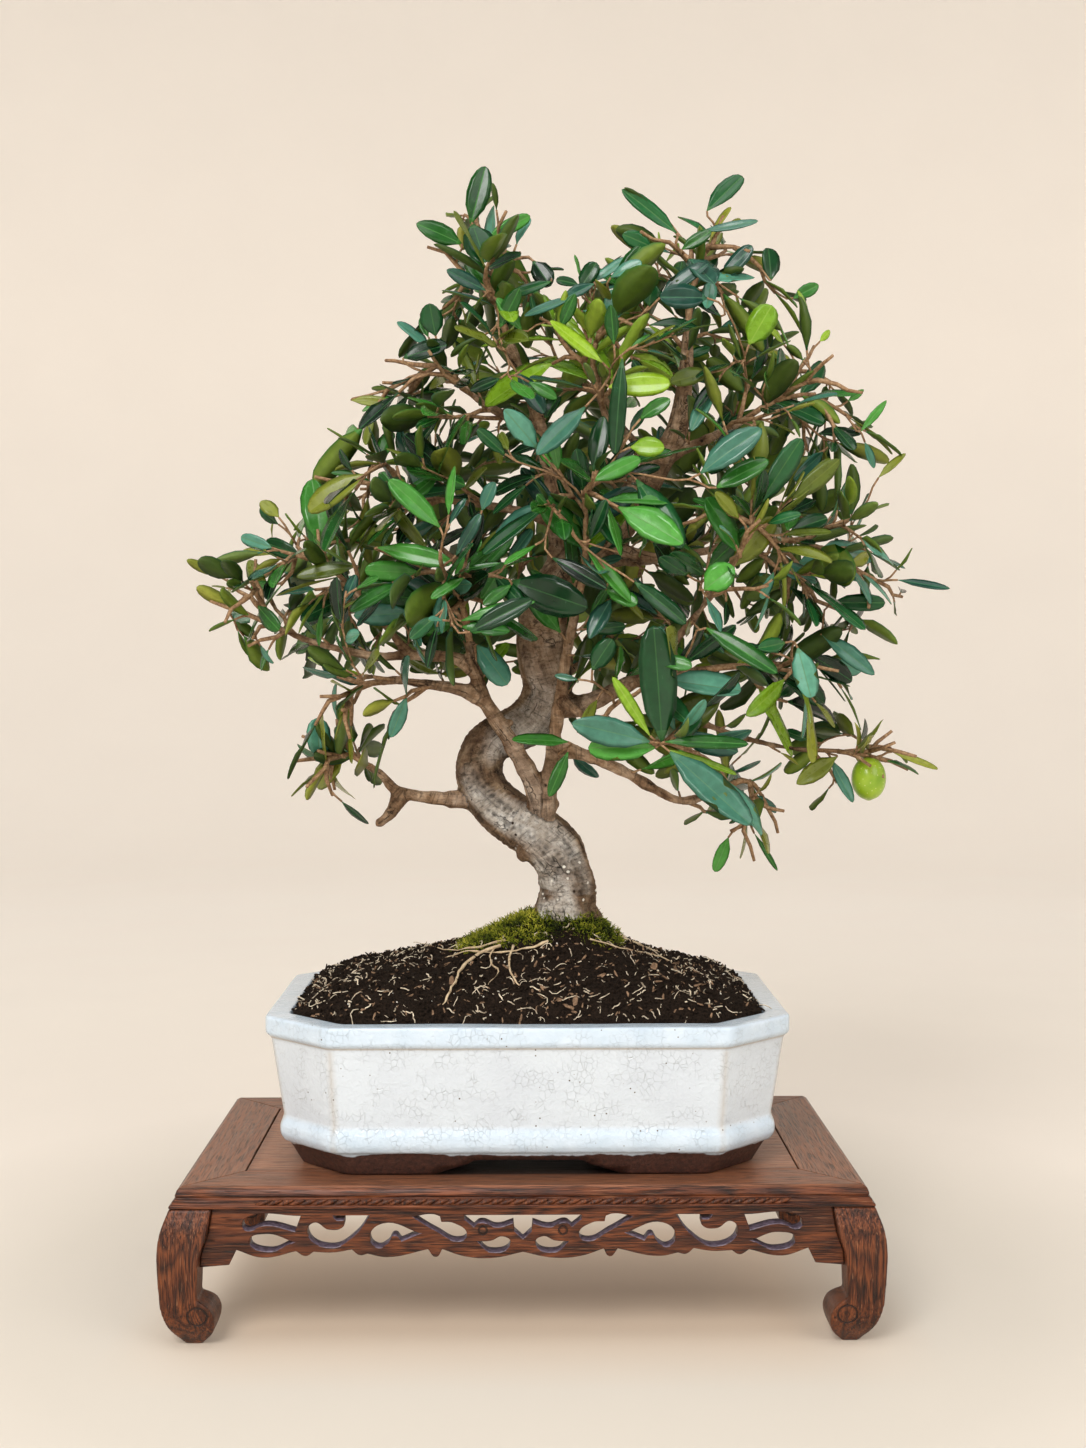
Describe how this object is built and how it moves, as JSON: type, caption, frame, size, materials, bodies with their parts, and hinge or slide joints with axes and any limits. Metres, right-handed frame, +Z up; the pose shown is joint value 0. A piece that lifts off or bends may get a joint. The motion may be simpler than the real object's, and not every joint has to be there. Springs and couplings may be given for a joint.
{
  "type": "olive bonsai",
  "caption": "Olive bonsai with a curling trunk and an open layered crown, in a low chamfered white glazed pot on a carved rosewood display stand.",
  "frame": {"origin": "on the floor, under the middle of the whole plant's bounding box", "axes": "+Z up; -Y is the front, where the pot's and the stand's long sides face the viewer; +X to the viewer's right"},
  "size_m": [0.4687, 0.2917, 0.6738],
  "materials": {
    "rosewood": "satin",
    "white_glaze": "gloss",
    "peat": "matte",
    "moss": "matte",
    "olive_bark": "matte",
    "olive_foliage": "satin"
  },
  "bodies": {
    "root": {"stand_panel": "rosewood", "rail_front": "rosewood", "rail_right": "rosewood", "rail_back": "rosewood", "rail_left": "rosewood", "apron_front": "rosewood", "apron_right": "rosewood", "apron_back": "rosewood", "apron_left": "rosewood", "leg_front_left": "rosewood", "leg_front_right": "rosewood", "leg_back_left": "rosewood", "leg_back_right": "rosewood", "pot": "white_glaze", "soil": "peat", "moss": "moss", "trunk": "olive_bark", "front_stem_left": "olive_bark", "front_stem_centre": "olive_bark", "bough_left_mid": "olive_bark", "bough_left_long": "olive_bark", "bough_left_low": "olive_bark", "bough_left_arm": "olive_bark", "bough_right_main": "olive_bark", "bough_right_low": "olive_bark", "bough_right_long": "olive_bark", "bough_right_upper": "olive_bark", "bough_right_shoulder": "olive_bark", "leader_left": "olive_bark", "bough_left_upper": "olive_bark", "bough_left_shoulder": "olive_bark", "bough_top": "olive_bark", "bough_front_spray": "olive_bark", "bough_front_right": "olive_bark", "bough_back_left": "olive_bark", "bough_back_right": "olive_bark", "bough_back_low": "olive_bark", "bough_back_top": "olive_bark", "foliage_apex_left": "olive_foliage", "foliage_apex_right": "olive_foliage", "foliage_crown_top": "olive_foliage", "foliage_left_shoulder": "olive_foliage", "foliage_left_upper": "olive_foliage", "foliage_left_arm": "olive_foliage", "foliage_left_tip": "olive_foliage", "foliage_left_lower": "olive_foliage", "foliage_left_low": "olive_foliage", "foliage_front_left": "olive_foliage", "foliage_front_centre": "olive_foliage", "foliage_front_spray": "olive_foliage", "foliage_front_right": "olive_foliage", "foliage_right_mid": "olive_foliage", "foliage_right_shoulder": "olive_foliage", "foliage_right_main": "olive_foliage", "foliage_fruiting_twig": "olive_foliage", "foliage_right_low": "olive_foliage", "foliage_back_left": "olive_foliage", "foliage_back_right": "olive_foliage", "foliage_back_low": "olive_foliage", "foliage_back_top": "olive_foliage"}
  },
  "joints": []
}
